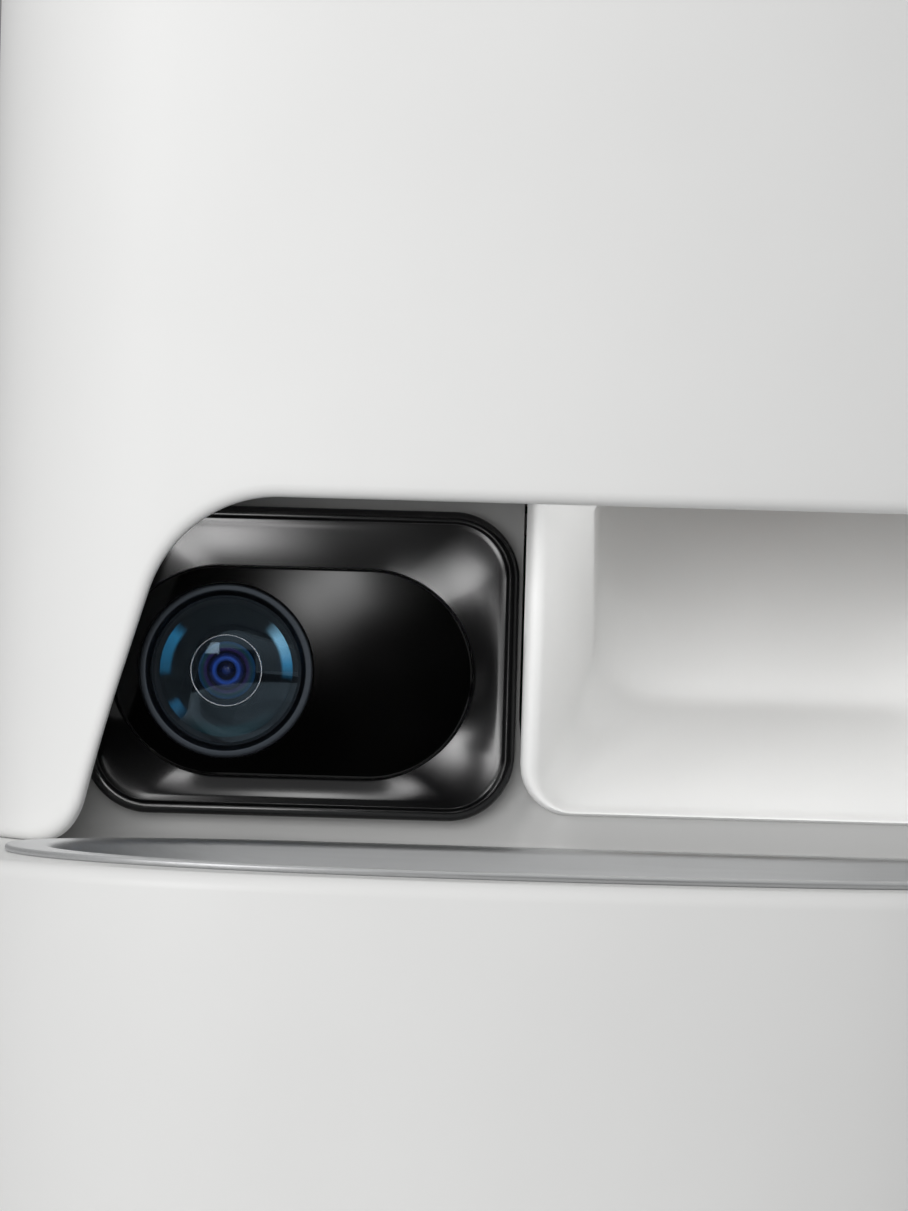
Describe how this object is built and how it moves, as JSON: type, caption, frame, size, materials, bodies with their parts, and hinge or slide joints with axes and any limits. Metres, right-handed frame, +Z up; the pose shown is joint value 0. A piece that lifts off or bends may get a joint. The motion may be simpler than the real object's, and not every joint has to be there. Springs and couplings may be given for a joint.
{
  "type": "automatic pet feeder",
  "caption": "Upright automatic pet feeder: D-shaped white housing with a hinged lid, a niche holding a camera and a food chute, and a base with a lift-out steel bowl.",
  "frame": {"origin": "middle of the footprint on the surface that the rubber feet stand on", "axes": "+Z up, -Y towards the bowl and the camera, +X to the right of someone who looks at the front"},
  "size_m": [0.175, 0.25, 0.31],
  "materials": {
    "white_shell": "satin moulded white plastic",
    "inner_plastic": "plain moulded plastic",
    "chute_plastic": "smooth moulded white plastic",
    "wheel_plastic": "moulded flexible plastic",
    "gear_plastic": "moulded acetal",
    "brass": "machined",
    "bowl_steel": "brushed stainless steel",
    "steel": "plain steel",
    "rubber": "moulded rubber",
    "seal_rubber": "soft silicone",
    "black_rubber": "soft seal",
    "black_gloss": "polished black plastic",
    "black_matte": "black plastic",
    "dark_plastic": "dark plastic",
    "lens_glass": "clear lens glass",
    "coated_glass": "coated front element",
    "bright_ring": "bright metal",
    "circuit_board": "solder mask green",
    "cell_wrap": "printed film over steel, left plain",
    "contact_brass": "sprung sheet",
    "button_white": "smooth moulded plastic",
    "button_grey": "moulded plastic",
    "light_guide": "clear light guide"
  },
  "bodies": {
    "housing": {"base_shell": "white_shell", "base_plate": "inner_plastic", "base_screws": "steel", "rubber_feet": "rubber", "battery_tray": "inner_plastic", "battery_cells": "cell_wrap", "battery_contacts": "contact_brass", "door_pin": "steel", "body_shell": "white_shell", "body_screws": "steel", "niche_liner": "inner_plastic", "chute": "chute_plastic", "chute_sensors": "dark_plastic", "hopper": "inner_plastic", "motor": "steel", "drive_plate": "inner_plastic", "drive_screws": "steel", "rear_deck": "white_shell", "hinge_pins": "steel", "button_board": "circuit_board", "status_light": "light_guide", "main_board": "circuit_board", "board_parts": "dark_plastic", "board_screws": "steel", "dc_jack": "dark_plastic", "speaker": "dark_plastic", "camera_bezel": "black_gloss", "camera_gasket": "black_rubber", "camera_window": "black_gloss", "lens_ring": "black_matte", "lens_dome": "lens_glass", "lens_barrel": "black_matte", "lens_trim_ring": "bright_ring", "lens_element": "coated_glass", "camera_case": "dark_plastic", "camera_board": "circuit_board", "night_lights": "dark_plastic"},
    "lid": {"lid": "white_shell", "lid_hinges": "white_shell", "lid_liner": "inner_plastic", "lid_gasket": "seal_rubber", "desiccant_cup": "inner_plastic"},
    "desiccant_cap": {"desiccant_cap": "chute_plastic"},
    "portion_wheel": {"portion_wheel": "wheel_plastic", "wheel_shaft": "steel", "wheel_gear": "gear_plastic"},
    "motor_pinion": {"pinion": "brass", "motor_shaft": "steel"},
    "bowl": {"bowl": "bowl_steel"},
    "feed_button": {"feed_button": "button_white"},
    "reset_button": {"reset_button": "button_grey"},
    "battery_door": {"battery_door": "inner_plastic"}
  },
  "joints": [
    {"name": "lid_hinge", "type": "hinge", "parent": "housing", "child": "lid", "pos_m": [0, 0.104, 0.3045], "axis": [-1, 0, 0], "range_deg": [0, 95]},
    {"name": "desiccant_cap_turn", "type": "hinge", "parent": "lid", "child": "desiccant_cap", "pos_m": [0, 0.02, 0.2766], "axis": [0, 0, 1], "range_deg": [0, 60]},
    {"name": "wheel_spin", "type": "hinge", "parent": "housing", "child": "portion_wheel", "pos_m": [-0.018, 0.025, 0.13], "axis": [0, 0, 1], "continuous": true},
    {"name": "pinion_spin", "type": "hinge", "parent": "housing", "child": "motor_pinion", "pos_m": [-0.03445, 0.0345, 0.111], "axis": [0, 0, 1], "continuous": true},
    {"name": "bowl_lift", "type": "slide", "parent": "housing", "child": "bowl", "axis": [0, -0.6428, 0.766], "range_m": [0, 0.15]},
    {"name": "feed_button_press", "type": "slide", "parent": "housing", "child": "feed_button", "axis": [0, 0, -1], "range_m": [0, 0.0015], "stiffness_N_per_m": 400},
    {"name": "reset_button_press", "type": "slide", "parent": "housing", "child": "reset_button", "axis": [0, -1, 0], "range_m": [0, 0.001], "stiffness_N_per_m": 400},
    {"name": "battery_door_swing", "type": "hinge", "parent": "housing", "child": "battery_door", "pos_m": [0, 0.098, 0.00325], "axis": [1, 0, 0], "range_deg": [0, 90]}
  ],
  "couplings": [
    {"joint": "pinion_spin", "follows": "wheel_spin", "ratio": -2.5}
  ]
}
